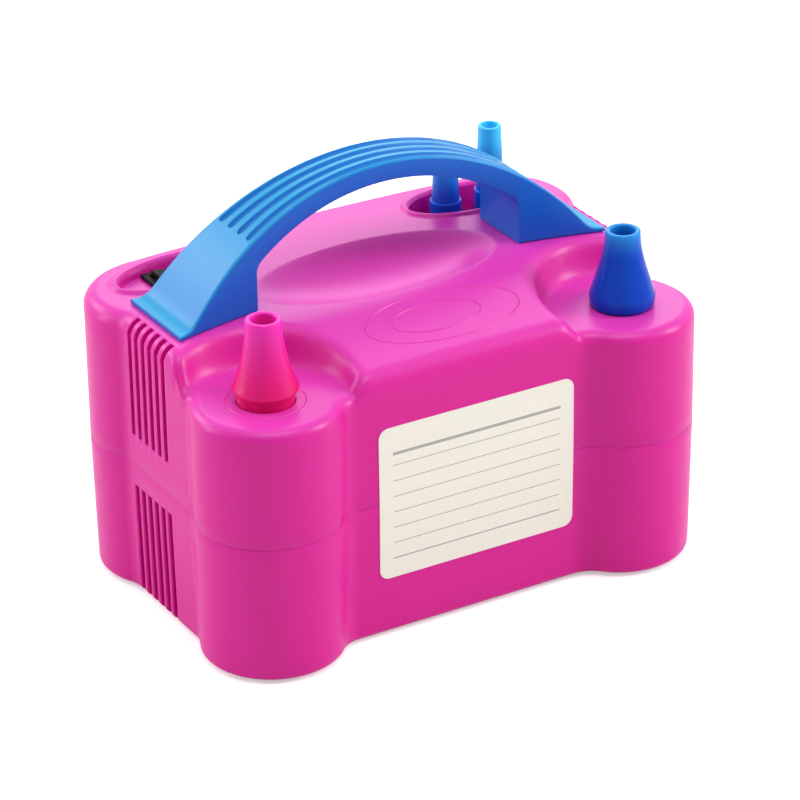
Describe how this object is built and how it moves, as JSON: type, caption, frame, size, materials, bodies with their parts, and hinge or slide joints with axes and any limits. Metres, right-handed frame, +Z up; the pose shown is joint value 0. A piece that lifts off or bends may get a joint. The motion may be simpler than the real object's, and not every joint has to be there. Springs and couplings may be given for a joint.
{
  "type": "electric balloon inflator",
  "caption": "Portable electric balloon inflator: lobed plastic case with arched carrying handle, outlet nozzles on the front corners, and a pocket for slim spare nozzles.",
  "frame": {"origin": "centre of the bounding box's underside, where the rubber feet stand", "axes": "+X along the case's length towards the blue nozzle's end, -Y towards the front with both nozzles and the label, +Z up"},
  "size_m": [0.2142, 0.143, 0.1669],
  "materials": {
    "case_magenta": "moulded, satin gloss",
    "nozzle_pink": "moulded, satin gloss",
    "handle_blue": "moulded, satin gloss",
    "black_plastic": "moulded, fine texture",
    "label_film": "printed film, left blank",
    "rubber": "matte",
    "zinc_steel": "zinc plated",
    "steel": "plain",
    "copper": "enamelled copper",
    "bracket_alloy": "as cast",
    "carbon": "pressed carbon",
    "fan_grey": "moulded",
    "tab_brass": "stamped",
    "capacitor_case": "moulded box",
    "lead_cover": "wire insulation"
  },
  "bodies": {
    "case": {"brush_holder_front": "black_plastic", "brush_holder_rear": "black_plastic", "carbon_brush_front": "carbon", "carbon_brush_rear": "carbon", "case_screw_front_left": "zinc_steel", "case_screw_front_right": "zinc_steel", "case_screw_rear_left": "zinc_steel", "case_screw_rear_right": "zinc_steel", "cord_gland": "black_plastic", "fan_cover_left": "fan_grey", "fan_cover_right": "fan_grey", "fan_scroll_left": "fan_grey", "fan_scroll_right": "fan_grey", "field_coil_lower": "copper", "field_coil_upper": "copper", "field_stack": "steel", "foot_front_left": "rubber", "foot_front_right": "rubber", "foot_rear_left": "rubber", "foot_rear_right": "rubber", "handle": "handle_blue", "handle_screw_left_inner": "zinc_steel", "handle_screw_left_outer": "zinc_steel", "handle_screw_right_inner": "zinc_steel", "handle_screw_right_outer": "zinc_steel", "lower_shell": "case_magenta", "micro_switch": "black_plastic", "motor_bracket_left": "bracket_alloy", "motor_bracket_right": "bracket_alloy", "motor_cradle_left": "rubber", "motor_cradle_right": "rubber", "motor_lead": "lead_cover", "outlet_tube_left": "fan_grey", "outlet_tube_right": "case_magenta", "press_nozzle_spring": "steel", "rating_label": "label_film", "shaft_bearing_left": "steel", "shaft_bearing_right": "steel", "supply_lead": "lead_cover", "suppression_capacitor": "capacitor_case", "switch_housing": "black_plastic", "switch_tab_left": "tab_brass", "switch_tab_middle": "tab_brass", "switch_tab_right": "tab_brass", "upper_shell": "case_magenta"},
    "press": {"press_nozzle": "nozzle_pink", "press_nozzle_collar": "black_plastic"},
    "plunger": {"micro_switch_plunger": "fan_grey"},
    "rocker": {"switch_rocker": "black_plastic"},
    "rotor": {"motor_shaft": "steel", "armature_core": "steel", "armature_winding_left": "copper", "armature_winding_right": "copper", "commutator": "copper", "impeller_left": "fan_grey", "impeller_right": "fan_grey"},
    "removable": {"removable_nozzle": "handle_blue"},
    "spare_inner": {"spare_nozzle_inner": "handle_blue"},
    "spare_outer": {"spare_nozzle_outer": "handle_blue"}
  },
  "joints": [
    {"name": "press_slide", "type": "slide", "parent": "case", "child": "press", "axis": [0, 0, 1], "range_m": [-0.004, 0], "stiffness_N_per_m": 400, "springref_m": 0.005, "deforming": ["press_nozzle_spring"]},
    {"name": "plunger_slide", "type": "slide", "parent": "case", "child": "plunger", "axis": [0, 0, 1], "range_m": [-0.004, 0]},
    {"name": "rocker_tilt", "type": "hinge", "parent": "case", "child": "rocker", "pos_m": [-0.065, 0.0485, 0.11774], "axis": [0, 1, 0], "range_deg": [-10, 10]},
    {"name": "rotor_spin", "type": "hinge", "parent": "case", "child": "rotor", "pos_m": [0, -0.0003, 0.052], "axis": [1, 0, 0], "continuous": true},
    {"name": "removable_slide", "type": "slide", "parent": "case", "child": "removable", "axis": [0, 0, 1], "range_m": [0, 0.04]},
    {"name": "spare_inner_slide", "type": "slide", "parent": "case", "child": "spare_inner", "axis": [0, 0, 1], "range_m": [0, 0.06]},
    {"name": "spare_outer_slide", "type": "slide", "parent": "case", "child": "spare_outer", "axis": [0, 0, 1], "range_m": [0, 0.06]}
  ],
  "couplings": [
    {"joint": "plunger_slide", "follows": "press_slide", "ratio": 1}
  ]
}
